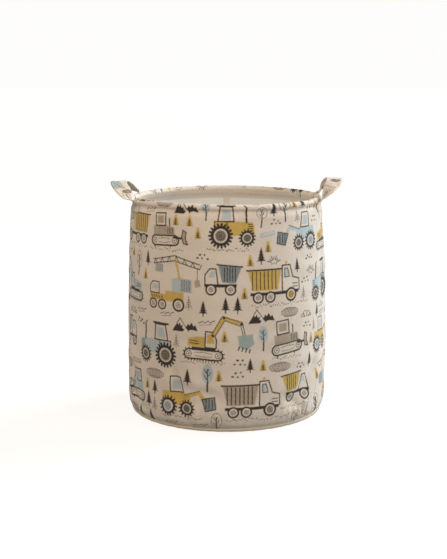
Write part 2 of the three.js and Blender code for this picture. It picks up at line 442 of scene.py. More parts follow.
def loader(x, y, k, flip, body, bucket):
    """A wheel loader with a raised lift arm and bucket."""
    q = Pen(x, y, k, flip)
    q.fill([(-30, 14), (20, 14), (20, 30), (6, 36), (-30, 34)], body)
    q.fill([(-14, 34), (8, 34), (4, 58), (-14, 58)], None, 1.7)
    q.fill([(-10, 38), (3, 38), (1, 53), (-10, 53)], BLUE)
    q.line([(10, 28), (34, 36), (44, 22)], 4.6, body)
    q.line([(10, 31), (35, 39)], 1.1)
    q.fill([(38, 26), (58, 30), (60, 12), (44, 8)], bucket, 1.4)
    q.hatch(42, 12, 57, 26, 3, 1.1)
    q.tyre(-18, 11, 13, BLUE, 16)
    q.tyre(14, 10, 11, RUBBER, 14)


def dozer(x, y, k, flip, body, turn=0):
    """A crawler dozer with a curved blade."""
    q = Pen(x, y, k, flip, turn)
    q.track(0, 9, 29, 8, 4)
    q.fill([(-24, 18), (22, 18), (22, 30), (8, 33), (-24, 33)], body)
    q.fill([(-18, 33), (4, 33), (4, 54), (-18, 54)], None, 1.8)
    q.fill([(-14, 37), (0, 37), (0, 50), (-14, 50)], body)
    q.hatch(6, 20, 20, 29, 4, 1.1)
    q.line([(20, 14), (38, 12)], 3.0)
    q.fill([(38, 26), (44, 22), (42, 12), (46, 2), (38, 4), (35, 14)], body, 1.5)
    q.line([(12, 33), (12, 44)], 2.0)


def tractor(x, y, k, flip, body):
    """A farm tractor: bonnet, cab, exhaust and unequal tyres."""
    q = Pen(x, y, k, flip)
    q.fill([(-40, 18), (14, 18), (14, 44), (-36, 40), (-40, 34)], body)
    for i in range(5):
        q.line([(-37, 22 + 3.6 * i), (-29, 22.5 + 3.6 * i)], 1.2)
    q.fill([(-4, 42), (24, 42), (20, 68), (-2, 68)], None, 1.9)
    q.fill([(1, 46), (18, 46), (15.5, 63), (2, 63)], BLUE)
    q.line([(-6, 70), (25, 70)], 2.6)
    q.line([(-26, 40), (-26, 64)], 2.8)
    q.line([(-27, 66), (-22, 70)], 1.8)
    q.box(8, 30, 30, 42, body, 1.5)
    q.tyre(-27, 14, 12, RUBBER, 15)
    q.tyre(19, 18, 17, RUBBER, 19)


def barrow(x, y, k, flip, body):
    """A small dumper with a hopper."""
    q = Pen(x, y, k, flip)
    q.fill([(-30, 46), (8, 50), (2, 22), (-20, 20)], body)
    q.hatch(-22, 24, 0, 46, 5, 1.3)
    q.line([(-32, 47), (10, 51)], 2.0)
    q.fill([(8, 16), (30, 16), (30, 34), (22, 44), (12, 44)], None, 1.7)
    q.fill([(14, 30), (25, 30), (20, 40), (14, 40)], BLUE)
    q.box(-22, 14, 30, 19, INK)
    q.tyre(-12, 10, 9.5)
    q.tyre(20, 10, 9.5)


def draw_machines():
    """Four rows of machines, with grit under some of them."""
    tractor(10, 354, 1.1, -1, MUSTARD)
    dozer(-128, 350, 1.15, 1, TAUPE, 3)
    loader(172, 342, 1.18, -1, BLUE, SLATE)
    tipper(-238, 348, 1.08, 1, MUSTARD)
    digger(250, 332, 1.02, 1, MUSTARD, TEAL)
    crane(-92, 222, 1.08, -1)
    barrow(-6, 262, 1.15, -1, SLATE)
    tipper(114, 246, 1.18, -1, MUSTARD)
    digger(-222, 236, 1.08, -1, BLUE, SLATE)
    tractor(240, 234, 1.08, 1, BLUE)
    tractor(-146, 120, 1.16, 1, BLUE)
    digger(-44, 140, 1.18, 1, MUSTARD, TEAL, -3)
    dozer(126, 144, 1.22, 1, TAUPE, 5)
    loader(238, 134, 1.1, 1, MUSTARD, TAUPE)
    barrow(-246, 142, 1.12, 1, TEAL)
    loader(-94, 30, 1.24, 1, MUSTARD, SLATE)
    tipper(66, 28, 1.18, -1, TAUPE)
    barrow(146, 46, 1.16, 1, MUSTARD)
    dozer(-214, 38, 1.15, -1, BLUE)
    crane(260, 20, 0.98, 1)
    grit = ((-124, 344, 84), (4, 348, 80), (-44, 133, 84), (-90, 24, 90), (144, 40, 70), (126, 138, 70))
    for x, y, w in grit:
        ground(x, y, w, abs(x) + w)


# small marks: what draws each, its further arguments for the nth round, and the half-width, depth and height
# that it needs clear round it
MARKS = {
    "tree": (tree, lambda n: (42 + 5 * (n % 3), None, 3 * (n % 5) - 6, n % 2 == 0), 11, 25, 23),
    "blue_tree": (tree, lambda n: (42 + 5 * (n % 3), BLUE, 3 - 2 * (n % 4)), 11, 25, 24),
    "peaks": (peaks, lambda n: (0.95,), 28, 2, 27),
    "boulder": (boulder, lambda n: (38 + 4 * (n % 3), 18 + 2 * (n % 2), n), 22, 11, 11),
    "cloud": (cloud, lambda n: (0.85,), 20, 8, 12),
    "burst": (burst, lambda n: (0.95, 6 * (n % 3) - 6), 15, 4, 15),
    "log": (log, lambda n: (32, 11 * (n % 5) - 24, (TAUPE, BLUE)[n % 2], 4.5), 17, 10, 10),
    "fir": (fir, lambda n: (28 + 2 * (n % 3),), 9, 15, 15),
    "thin_fir": (fir, lambda n: (26, 1), 8, 13, 13),
    "mustard_fir": (fir, lambda n: (25, 2), 8, 9, 13),
    "dots": (dots, lambda n: (24, 5, n), 14, 3, 12),
    "dashes": (dashes, lambda n: (0.9, 4), 15, 7, 4),
}
SCATTER = ("tree", "blue_tree", "peaks", "tree", "boulder", "peaks", "tree", "fir", "cloud", "log", "fir",
           "mustard_fir", "burst", "boulder", "thin_fir", "dots", "fir", "dashes", "mustard_fir", "dots")


def scatter_marks(rounds, tries, gap):
    """Fills the gaps between the machines: each mark takes the first bare spot that a seeded search finds."""
    r = np.random.default_rng(5)
    for n in range(rounds):
        for name in SCATTER:
            draw, further, half, low, high = MARKS[name]
            for _ in range(tries):
                x, y = WIDE * r.random() - WIDE / 2, 10 + 424 * r.random()
                if art.bare(x - half - gap, y - low - gap, x + half + gap, y + high + gap):
                    draw(x, y, *further(n))
                    break


def draw_strap_print():
    """Left strap at x 0 to 90, right strap at 100 to 190: one face first, the other 50 further on."""
    log(20, 96, 62, 84)
    q = Pen(20, 92)
    q.fill([(-2, -26), (17, -22), (17, 34), (3, 30), (-4, 4)], TEAL)
    for i in range(9):
        q.disc(2 + 7 * (i % 2) + i % 3, -18 + 6 * i, 1.6, INK)
    tree(24, 34, 34, None, 14)
    boulder(15, 52, 20, 12, 31)
    dots(20, 150, 22, 5, 32)
    fir(22, 184, 28)
    cloud(68, 120, 0.6)
    dots(70, 80, 20, 4, 33)
    boulder(122, 84, 20, 14, 34)
    ground(120, 60, 24, 35)
    dots(120, 112, 22, 4, 36)
    tree(118, 34, 34)
    cloud(122, 150, 0.6, TEAL)
    fir(120, 190, 26)
    for k in range(4):
        boulder(170, 112 + 24 * k, 22, 14, 40 + k)


draw_machines()
scatter_marks(10, 150, 0.8)
art = strap_print
draw_strap_print()


def ink_at(s, v, sheet):
    """Print colour and cover at metres round (s) and up (v) the cloth."""
    x, y = (s * 1000 / CELL - 0.5) % sheet.nx, np.clip(v * 1000 / CELL - 0.5, 0, sheet.ny - 1.001)
    x0, y0 = np.floor(x).astype(int), np.floor(y).astype(int)
    fx, fy = (x - x0)[..., None], (y - y0)[..., None]
    full = np.concatenate([sheet.rgb * sheet.a[..., None], sheet.a[..., None]], 2)

    def cell(i, j):
        return full[np.clip(y0 + j, 0, sheet.ny - 1), (x0 + i) % sheet.nx]

    low = cell(0, 0) * (1 - fx) + cell(1, 0) * fx
    high = cell(0, 1) * (1 - fx) + cell(1, 1) * fx
    blend = low * (1 - fy) + high * fy
    cover = blend[..., 3:]
    return np.concatenate([blend[..., :3] / np.maximum(cover, 1e-4), cover], -1)


# ---- objects and meshes
def put(name, data):
    """A new object in the scene."""
    ob = bpy.data.objects.new(name, data)
    bpy.context.scene.collection.objects.link(ob)
    return ob


def finished(me, mat):
    """A smooth-shaded object of a mesh."""
    me.polygons.foreach_set("use_smooth", np.ones(len(me.polygons), bool))
    me.materials.append(mat)
    return put(me.name, me)


def new_object(name, verts, faces, mat):
    """An object of vertices and faces that all have the same number of corners."""
    me = bpy.data.meshes.new(name)
    verts = np.asarray(verts, np.float32).reshape(-1, 3)
    faces = np.asarray(faces, np.int32)
    me.vertices.add(len(verts))
    me.vertices.foreach_set("co", verts.ravel())
    me.loops.add(faces.size)
    me.loops.foreach_set("vertex_index", faces.ravel())
    me.polygons.add(len(faces))
    me.polygons.foreach_set("loop_start", np.arange(0, faces.size, faces.shape[1], dtype=np.int32))
    me.polygons.foreach_set("loop_total", np.full(len(faces), faces.shape[1], np.int32))
    me.update(calc_edges=True)
    return finished(me, mat)


def grid_faces(nu, nv, wrap_u=True, wrap_v=False):
    """Quads of a grid whose first index goes round and second goes up, each closed on itself or open."""
    i = np.arange(nu if wrap_u else nu - 1)
    j = np.arange(nv if wrap_v else nv - 1)
    i, j = np.meshgrid(i, j, indexing="ij")
    i2, j2 = (i + 1) % nu, (j + 1) % nv
    return np.stack([i * nv + j, i2 * nv + j, i2 * nv + j2, i * nv + j2], -1).reshape(-1, 4)


def set_uv(ob, uv, wrap_at=None):
    """uv per vertex, in metres; wrap_at mends the face column that closes the ring."""
    me = ob.data
    layer = me.uv_layers.new(name="cloth")
    idx = np.empty(len(me.loops), np.int32)
    me.loops.foreach_get("vertex_index", idx)
    out = uv[idx]
    if wrap_at:
        u = out[:, 0].reshape(-1, 4)
        middle = u.max(1, keepdims=True) - wrap_at / 2
        out[:, 0] = np.where(u < middle, u + wrap_at, u).ravel()
    layer.data.foreach_set("uv", out.astype(np.float32).ravel())


def set_ink(ob, colours):
    att = ob.data.color_attributes.new("ink", "FLOAT_COLOR", "POINT")
    att.data.foreach_set("color", colours.astype(np.float32).ravel())


# ---- materials
def node(nt, kind, inputs=None, **settings):
    """A new node, its inputs set to values or linked to other nodes' outputs."""
    made = nt.nodes.new("ShaderNode" + kind)
    for key, value in settings.items():
        setattr(made, key, value)
    for key, value in (inputs or {}).items():
        if isinstance(value, bpy.types.NodeSocket):
            nt.links.new(value, made.inputs[key])
        else:
            made.inputs[key].default_value = value
    return made


def calc(nt, operation, *values):
    return node(nt, "Math", dict(enumerate(values)), operation=operation).outputs[0]


def noise(nt, place, scale, detail):
    return node(nt, "TexNoise", {"Vector": place, "Scale": scale, "Detail": detail}).outputs["Fac"]


def remap(nt, value, low, high, to_low, to_high):
    ends = {"From Min": low, "From Max": high, "To Min": to_low, "To Max": to_high}
    return node(nt, "MapRange", {"Value": value, **ends}).outputs[0]


def shaded(name, rough, specular):
    """A new material and its shader."""
    mat = bpy.data.materials.new(name)
    mat.use_nodes = True
    nt = mat.node_tree
    nt.nodes.clear()
    shader = node(nt, "BsdfPrincipled", {"Roughness": rough, "Specular IOR Level": specular})
    node(nt, "OutputMaterial", {"Surface": shader.outputs["BSDF"]})
    return mat, shader


def emboss(nt, shader, height, strength, distance):
    bump = node(nt, "Bump", {"Height": height, "Strength": strength, "Distance": distance})
    nt.links.new(bump.outputs[0], shader.inputs["Normal"])


def canvas(name, tint=CLOTH, printed=True, weave=0.0011, rough=0.88, sheen=0.12, bump=0.5):
    """Plain-weave cotton: thread bump, slubs, small colour drift, and the print where there is one."""
    mat, shader = shaded(name, rough, 0.18)
    shader.inputs["Sheen Weight"].default_value = sheen
    shader.inputs["Sheen Roughness"].default_value = 0.55
    nt = mat.node_tree
    uv = node(nt, "UVMap", uv_map="cloth").outputs[0]
    wave = {"Vector": uv, "Scale": math.pi / (10 * weave), "Distortion": 0.6, "Detail": 1,
            "Detail Scale": 0.35}
    threads = [node(nt, "TexWave", wave, bands_direction=way).outputs["Fac"] for way in ("X", "Y")]
    slubs = []
    for stretch in ((120, 1400, 1), (1500, 140, 1)):
        place = node(nt, "Mapping", {"Vector": uv, "Scale": stretch}).outputs[0]
        slubs.append(noise(nt, place, 1.0, 2.0))
    slub = calc(nt, "ADD", *slubs)
    drift = remap(nt, noise(nt, uv, 9.0, 3.0), 0.3, 0.7, 0.955, 1.03)
    shade = calc(nt, "MULTIPLY", remap(nt, slub, 0.7, 1.3, 0.90, 1.06), drift)
    base = node(nt, "RGB")
    base.outputs[0].default_value = (*tint, 1)
    colour = base.outputs[0]
    if printed:
        ink = node(nt, "Attribute", attribute_name="ink").outputs
        cover = calc(nt, "MULTIPLY", ink["Alpha"], remap(nt, slub, 0.7, 1.3, 1.0, 0.93))
        mix = node(nt, "Mix", {"Factor": cover, "A": colour, "B": ink["Color"]}, data_type="RGBA")
        colour = mix.outputs["Result"]
    tinted = node(nt, "VectorMath", {0: colour, "Scale": shade}, operation="SCALE")
    nt.links.new(tinted.outputs[0], shader.inputs["Base Color"])
    emboss(nt, shader, calc(nt, "MULTIPLY_ADD", calc(nt, "MAXIMUM", *threads), 0.7, slub), bump, 0.00025)
    return mat


def grained(name, colour, rough, scale, bump, depth, spread=0.06):
    """One-colour material with small-scale grain."""
    mat, shader = shaded(name, rough, 0.3)
    nt = mat.node_tree
    grain = noise(nt, node(nt, "TexCoord").outputs["Object"], scale, 3.0)
    ramp = node(nt, "ValToRGB", {0: grain})
    for stop, place, gain in zip(ramp.color_ramp.elements, (0.3, 0.7), (1 - spread, 1 + spread)):
        stop.position = place
        stop.color = (*[min(1, c * gain) for c in colour], 1)
    nt.links.new(ramp.outputs[0], shader.inputs["Base Color"])
    emboss(nt, shader, grain, bump, depth)
    return mat


M_CANVAS = canvas("printed_canvas")
M_STRAP = canvas("strap_canvas", weave=0.0010)
# painted shade: the seam roll and the base's underside are the wall's canvas, its tint darkened to stand in
# for the shade along the bottom seam
M_SHADED_ROLL = canvas("seam_roll_canvas_painted_shade", (0.64, 0.55, 0.42), False)
M_LINING = canvas("coated_lining", (0.86, 0.845, 0.80), False, 0.0008, 0.5, 0.0, 0.22)
M_TAPE = canvas("seam_tape", (0.74, 0.68, 0.58), False, 0.0014)
M_THREAD = grained("thread", (0.80, 0.76, 0.68), 0.75, 1800, 0.4, 0.0001)
M_BOARD = grained("board", (0.50, 0.39, 0.27), 0.9, 300, 0.4, 0.0002, 0.12)
M_TUBE = grained("hoop_plastic", (0.80, 0.80, 0.78), 0.45, 150, 0.1, 0.0001, 0.03)


# ---- cloth shape
def ripple_set(n, turns, rise, least, most=1.0):
    """n random waves round the cloth: whole turns, rise, phase and strength."""
    return [(int(rng.integers(*turns)), rng.uniform(*rise), rng.uniform(0, 6.28), rng.uniform(least, most))
            for _ in range(n)]


def rippled(ripples, th, z):
    return sum(a * np.cos(m * th + k * z + p) for m, k, p, a in ripples)


WAVES = ripple_set(9, (2, 9), (-14, 14), 0.3, 0.9)
FINE = ripple_set(14, (14, 46), (-60, 60), 0.3)
PUCKER = [(int(rng.integers(40, 110)), rng.uniform(0, 6.28), rng.uniform(0.3, 1)) for _ in range(16)]
LEVEL = ripple_set(6, (-4, 5), (95, 190), 0.5)  # these become the stacked folds of the collapsed wall

# Creases: (start round, start up, end round, end up, half-width, depth), in metres; depth < 0 is a valley.
CREASES = [
    (-0.25, 0.115, -0.205, 0.06, 0.011, -0.003), (-0.262, 0.08, -0.222, 0.045, 0.009, -0.0026),
    (-0.246, 0.06, -0.19, 0.03, 0.008, -0.0022), (-0.235, 0.135, -0.2, 0.1, 0.012, 0.0018),
    (-0.078, 0.15, -0.062, 0.08, 0.018, 0.003), (-0.098, 0.1, -0.076, 0.02, 0.007, -0.003),
    (-0.118, 0.09, -0.112, 0.03, 0.012, 0.0022), (-0.04, 0.06, -0.052, 0.02, 0.009, -0.0018),
    (-0.125, 0.024, -0.02, 0.027, 0.026, 0.0023), (-0.085, 0.086, -0.03, 0.076, 0.01, -0.002),
    (0.205, 0.11, 0.14, 0.052, 0.013, -0.0042), (0.232, 0.112, 0.17, 0.04, 0.016, 0.0034),
    (0.262, 0.1, 0.206, 0.036, 0.01, -0.0026), (0.12, 0.06, 0.168, 0.026, 0.01, -0.0018),
    (0.25, 0.33, 0.262, 0.25, 0.016, -0.0022), (-0.282, 0.33, -0.272, 0.15, 0.014, -0.0028),
    (0.285, 0.3, 0.29, 0.13, 0.018, 0.0018), (0.48, 0.12, 0.43, 0.05, 0.014, -0.0034),
    (-0.47, 0.15, -0.42, 0.06, 0.014, -0.0032), (-0.56, 0.1, -0.6, 0.04, 0.012, -0.0026),
    (0.36, 0.36, 0.372, 0.26, 0.014, -0.002), (-0.4, 0.38, -0.392, 0.29, 0.014, -0.0018),
]
CREASE_GAIN = 1.5  # all creases are this much deeper than listed
TAIL = 0.35  # how far a crease runs on past its ends as it fades, in its own lengths


def relief(th, z):
    """How far the cloth stands off its plain round shape, at angle th from the front and height z."""
    out = rippled(WAVES, th, z) * 0.00055 + rippled(FINE, th, z) * 0.00009 + rippled(LEVEL, th, z) * 0.00016
    base_gather = np.exp(-(((z - 0.022) / 0.026) ** 2))
    hem_gather = np.exp(-(((z - 0.400) / 0.020) ** 2))
    gather = sum(a * np.cos(m * th + p) for m, p, a in PUCKER)
    out = out + gather * (0.00022 * base_gather + 0.00009 * hem_gather)
    for s0, z0, s1, z1, width, depth in CREASES:
        ex, ez = s1 - s0, z1 - z0
        ds = (th * CLOTH_R - s0 + GIRTH / 2) % GIRTH - GIRTH / 2
        t = np.clip((ds * ex + (z - z0) * ez) / (ex * ex + ez * ez), -TAIL, 1 + TAIL)
        near = ((ds - t * ex) ** 2 + (z - z0 - t * ez) ** 2) / width**2
        fade = np.clip(1 - np.maximum(0, np.maximum(-t, t - 1)) / TAIL, 0, 1)
        out = out + CREASE_GAIN * depth * fade * (np.exp(-near) - 0.35 * np.exp(-near / 4))
    return out * np.clip((z - 0.004) / 0.016, 0, 1) * np.clip((HEM_LOW + 0.002 - z) / 0.03, 0, 1)


def smooth_line(pts, n):
    """n points at even parameter along a smooth curve through pts, their parameters, and those of pts."""
    pts = np.array(pts)
    d = np.r_[0, np.cumsum(np.linalg.norm(np.diff(pts, axis=0), axis=1))]
    m = np.gradient(pts, d, axis=0)
    t = np.linspace(0, d[-1], n)
    k = np.clip(np.searchsorted(d, t) - 1, 0, len(d) - 2)
    h = (d[k + 1] - d[k])[:, None]
    u = (t - d[k])[:, None] / h
    ends = (1 + 2 * u) * (1 - u) ** 2 * pts[k] + u * u * (3 - 2 * u) * pts[k + 1]
    return ends + u * (1 - u) ** 2 * h * m[k] + u * u * (u - 1) * h * m[k + 1], t, d


def smooth_profile(pts, n):
    """Radii and heights of n points evenly spaced on a smooth curve, and their distances along it."""
    p = smooth_line(pts, 1200)[0]
    s = np.r_[0, np.cumsum(np.hypot(*np.diff(p, axis=0).T))]
    at = np.linspace(0, s[-1], n)
    return np.interp(at, s, p[:, 0]), np.interp(at, s, p[:, 1]), at


def around(th, r, z):
    """Point at angle th from the front (-Y), turning towards +X."""
    return np.stack([r * np.sin(th), -r * np.cos(th), z + 0 * th], -1)


FINE_TURN = np.linspace(-math.pi, math.pi, 1280, endpoint=False)  # columns of the printed wall and hem
PLAIN_TURN = np.linspace(-math.pi, math.pi, 240, endpoint=False)  # and of the plain pieces
PRINT_SCALE = 2 * REPEAT / GIRTH  # stretches two repeats to close round the wall


def tube(name, turn, r, z, mat, up, inward=False, printed=False):
    """A closed band of cloth whose second index goes up, laid out flat at the distances in up."""
    faces = grid_faces(len(turn), len(up))
    if inward:
        faces = faces[:, ::-1]
    ob = new_object(name, around(turn[:, None], r, z), faces, mat)
    s, v = np.meshgrid(turn * CLOTH_R, up, indexing="ij")
    set_uv(ob, np.stack([s.ravel(), v.ravel()], 1), GIRTH)
    if printed:
        set_ink(ob, ink_at(s * PRINT_SCALE, v, wall_print).reshape(-1, 4))
    return ob


# ---- wall
wall_r, wall_z, wall_up = smooth_profile(WALL, 420)
turn, z = np.meshgrid(FINE_TURN, wall_z, indexing="ij")
wall = tube("canvas_wall", FINE_TURN, wall_r + relief(turn, z), z, M_CANVAS, wall_up, printed=True)

# ---- lining, just inside the canvas
inside = [(0.1845, 0.0062), (0.1880, 0.0078)]
inside += [(r - 0.0022, z + 0.0012) for r, z in WALL[2:-1]]
inside += [(0.1878, 0.4057)]
lining_r, lining_z, lining_up = smooth_profile(inside, 90)
turn, z = np.meshgrid(PLAIN_TURN, lining_z, indexing="ij")
lining = tube("lining_wall", PLAIN_TURN, lining_r + relief(turn, z), z, M_LINING, lining_up, inward=True)

# ---- rim casing: up the outside, round the hoop and down to the hem's seam inside
hem = [(0.1901, HEM_LOW - 0.0006), (0.1892, 0.4095), (0.1877, 0.4140), (0.1868, 0.4178)]
hem += [polar(BEAD_R, BEAD_Z, BEAD, a) for a in np.radians(np.linspace(-46, 222, 34))]
hem += [(0.1803, 0.4180), (0.1833, 0.4138), (0.1860, 0.4096), (0.1874, HEM_LOW - 0.0006)]
hem_r, hem_z, hem_up = smooth_profile(hem, 84)
turn, z = np.meshgrid(FINE_TURN, hem_z, indexing="ij")
free = np.clip((hem_z - 0.412) / 0.010, 0, 1)
slant = 160 * (z - 0.42)
gather = sum(a * np.cos(m * turn + (slant if i % 2 else -slant) + p) for i, (m, p, a) in enumerate(PUCKER))
swell = 0.00010 * (gather + rippled(FINE[:7], turn, 0)) * free
dip = 0.0006 * np.cos(2 * turn + 0.6) + 0.0004 * np.cos(3 * turn + 2.1)
out_r, out_z = hem_r - BEAD_R, hem_z - BEAD_Z
far = np.hypot(out_r, out_z)
z = z + swell * out_z / far + dip * free
r = hem_r + swell * out_r / far
rim = tube("rim_casing", FINE_TURN, r, z, M_CANVAS, hem_up + wall_up[-1], printed=True)


# ---- thread
STITCH_RINGS = ((-0.5, 0.25), (-0.42, 0.8), (0, 1.0), (0.42, 0.8), (0.5, 0.25))  # (place along, width)


def stitching(name, ends, normals, r):
    """Short rounded stitches between pairs of points, with six sides, as one mesh."""
    verts, faces = [], []
    for (a, b), normal in zip(ends, normals):
        a, b = np.array(a), np.array(b)
        side = np.cross(b - a, normal)
        side /= np.linalg.norm(side)
        up = np.cross(side, b - a)
        up /= np.linalg.norm(up)
        k = len(verts)
        for t, w in STITCH_RINGS:
            c = (a + b) / 2 + (b - a) * t + up * (0.35 * r * (1 - abs(2 * t)))
            for q in np.linspace(0, 2 * math.pi, 6, endpoint=False):
                verts.append(c + r * w * (side * math.cos(q) + up * 0.6 * math.sin(q)))
        for i in range(len(STITCH_RINGS) - 1):
            for j in range(6):
                low, low2 = k + 6 * i + j, k + 6 * i + (j + 1) % 6
                faces.append((low, low2, low2 + 6, low + 6))
        for half in ((0, 1, 2, 3), (0, 3, 4, 5)):
            faces.append([k + q for q in half[::-1]])
            faces.append([k + 24 + q for q in half])
    return new_object(name, verts, faces, M_THREAD)


def hem_stitches(z, r, length, gap):
    """Stitches in a level ring, and the way each faces."""
    n = int(2 * math.pi * r / (length + gap))
    start = 2 * math.pi * np.arange(n) / n
    ends = np.stack([around(start, r, z), around(start + length / r, r, z)], 1)
    return ends, around(start + length / r / 2, 1, 0)


seam_z = HEM_LOW + 0.0030
top = int(np.argmax(hem_z))
seam_r = float(np.interp(seam_z, hem_z[:top], hem_r[:top])) + 0.0001
hem_thread = stitching("hem_thread", *hem_stitches(seam_z, seam_r, 0.0024, 0.0008), 0.00036)

# ---- base roll, flattened where it stands
turn, a = np.meshgrid(PLAIN_TURN, np.linspace(0, 2 * math.pi, 14, endpoint=False), indexing="ij")
rope = 0.0035 + 0.00018 * np.cos(57 * turn + 2 * a) + 0.00015 * np.cos(31 * turn - a + 1)
verts = around(turn, 0.1893 + rope * np.cos(a), np.maximum(0.0, 0.0035 + rope * np.sin(a)))
roll = new_object("base_roll", verts, grid_faces(*turn.shape, wrap_v=True), M_SHADED_ROLL)
set_uv(roll, np.stack([(turn * 0.19).ravel(), (a * 0.0035).ravel()], 1))


def cloth_disc(name, radius, height, mat, facing, lumps):
    """A cloth disc, faintly rippled towards its edge, that faces up (1) or down (-1)."""
    turn, r = np.meshgrid(PLAIN_TURN, np.linspace(0, radius, 40)[1:], indexing="ij")
    ripple = sum(a * np.cos(m % 7 * turn + 90 * r + p) for m, p, a in PUCKER[:8])
    verts = np.concatenate([around(turn, r, height + lumps * ripple * (r / radius) ** 2).reshape(-1, 3),
                            [[0, 0, height]]])
    inner = np.arange(len(PLAIN_TURN)) * r.shape[1]
    middle = np.stack([inner, np.roll(inner, -1), np.full_like(inner, len(verts) - 1)], 1)
    quads = grid_faces(*r.shape)
    if facing > 0:
        quads = quads[:, ::-1]
    else:
        middle = middle[:, [1, 0, 2]]
    me = bpy.data.meshes.new(name)
    me.from_pydata(verts.tolist(), [], quads.tolist() + middle.tolist())
    ob = finished(me, mat)
    set_uv(ob, verts[:, :2])
    return ob


FLOOR_R, UNDER_R = 0.1862, 0.1872
floor_cloth = cloth_disc("floor_lining", FLOOR_R, 0.0058, M_LINING, 1, 0.00008)
under = cloth_disc("base_cloth", UNDER_R, 0.0003, M_SHADED_ROLL, -1, 0.00002)

# ---- side seam binding inside, at the back
tape_r, tape_z, tape_up = smooth_profile([(r - 0.0036, z) for r, z in WALL[3:-1]] + [(0.1868, 0.4050)], 70)
across = np.linspace(-1, 1, 9)
turn, z = np.meshgrid(math.pi + across * 0.0065 / 0.19, tape_z, indexing="ij")
crown = 0.0009 * (1 - np.abs(across)[:, None] ** 4) - 0.0006
verts = around(turn, tape_r + relief(turn, z) - crown, z)
tape = new_object("side_seam_binding", verts, grid_faces(*turn.shape, wrap_u=False)[:, ::-1], M_TAPE)
s, v = np.meshgrid(across * 0.0065, tape_up, indexing="ij")
set_uv(tape, np.stack([s.ravel(), v.ravel()], 1))

# ---- strap handles
HALF = 0.0160  # half a strap's width
THICK = 0.00125  # half its thickness
HEM_FACE = 0.1890  # radius of the hem where the strap ends are sewn
FOOT_R = HINGE_X / math.cos(math.radians(19))  # radius of the loops' feet
# how each loop stands, in metres and degrees: its feet's angle from the X axis, its reach and slope, how its
# width turns out of its plane at the feet and the middle, and its hollow
RIGHT = {"anchor": 17.5, "reach": 0.0460, "lean": 54, "foot_turn": -4, "mid_turn": -56, "cup": 0.0008}
LEFT = {"anchor": 22.5, "reach": 0.0445, "lean": 43, "foot_turn": -27, "mid_turn": -45, "cup": 0.0014}
TURN_OVER = 0.046  # distance from the foot over which the width turns
SEWN_END = ((0.1914, 0.4060), (0.1903, 0.4105), (0.1890, 0.4150), (0.1889, 0.4188), (0.1903, 0.4222),
            (0.1926, 0.4254))  # (radius, height) up the hem and out over the bead


def unit(vectors):
    return vectors / np.linalg.norm(vectors, axis=-1, keepdims=True)


def strap_end(form, sign):
    """Points and width directions from one sewn foot up to the top of the loop."""
    anchor, lean = math.radians(form["anchor"]), math.radians(form["lean"])
    half, reach = FOOT_R * math.sin(anchor), form["reach"]
    arc = (half**2 + reach**2) / (2 * reach)
    spread = math.asin(half / arc)
    slope = np.array([math.cos(lean), 0, math.sin(lean)])
    upright = np.array([-slope[2], 0, slope[0]])
    foot = np.array([FOOT_R * math.cos(anchor), 0, HINGE_Z])
    pts = [[r * math.cos(anchor), sign * r * math.sin(anchor), z] for r, z in SEWN_END]
    widths = [np.array([-math.sin(anchor), sign * math.cos(anchor), 0])] * len(pts)
    for b in np.linspace(0.88, 0.0, 12) * spread * sign:
        pts.append(foot + slope * (reach - arc + arc * math.cos(b)) + np.array([0, arc * math.sin(b), 0]))
        t = min(1, arc * (spread - abs(b)) / TURN_OVER)
        phi = math.radians(form["foot_turn"] + (form["mid_turn"] - form["foot_turn"]) * t * t * (3 - 2 * t))
        outward = slope * math.cos(b) + np.array([0, math.sin(b), 0])
        widths.append(outward * math.cos(phi) + upright * math.sin(phi))
    return pts, widths


def strap_line(side, form, n=170):
    """Centre line, width direction, normal and distance along, from a strap's front foot to its back foot."""
    front, front_widths = strap_end(form, -1)
    back, back_widths = strap_end(form, 1)
    centre, along, at = smooth_line(front + back[::-1][1:], n)
    widths = np.array(front_widths + back_widths[::-1][1:])
    blur = np.hanning(15) / np.hanning(15).sum()
    width = np.stack([np.interp(along, at, widths[:, i]) for i in range(3)], 1)
    width = np.stack([np.convolve(np.pad(width[:, i], 7, "edge"), blur, "valid") for i in range(3)], 1)
    tangent = unit(np.gradient(centre, along, axis=0))
    width = unit(width - (width * tangent).sum(1, keepdims=True) * tangent)
    normal = np.cross(tangent, width)
    for vectors in (centre, width, normal):
        vectors[:, 0] *= side
    return centre, width, normal, along


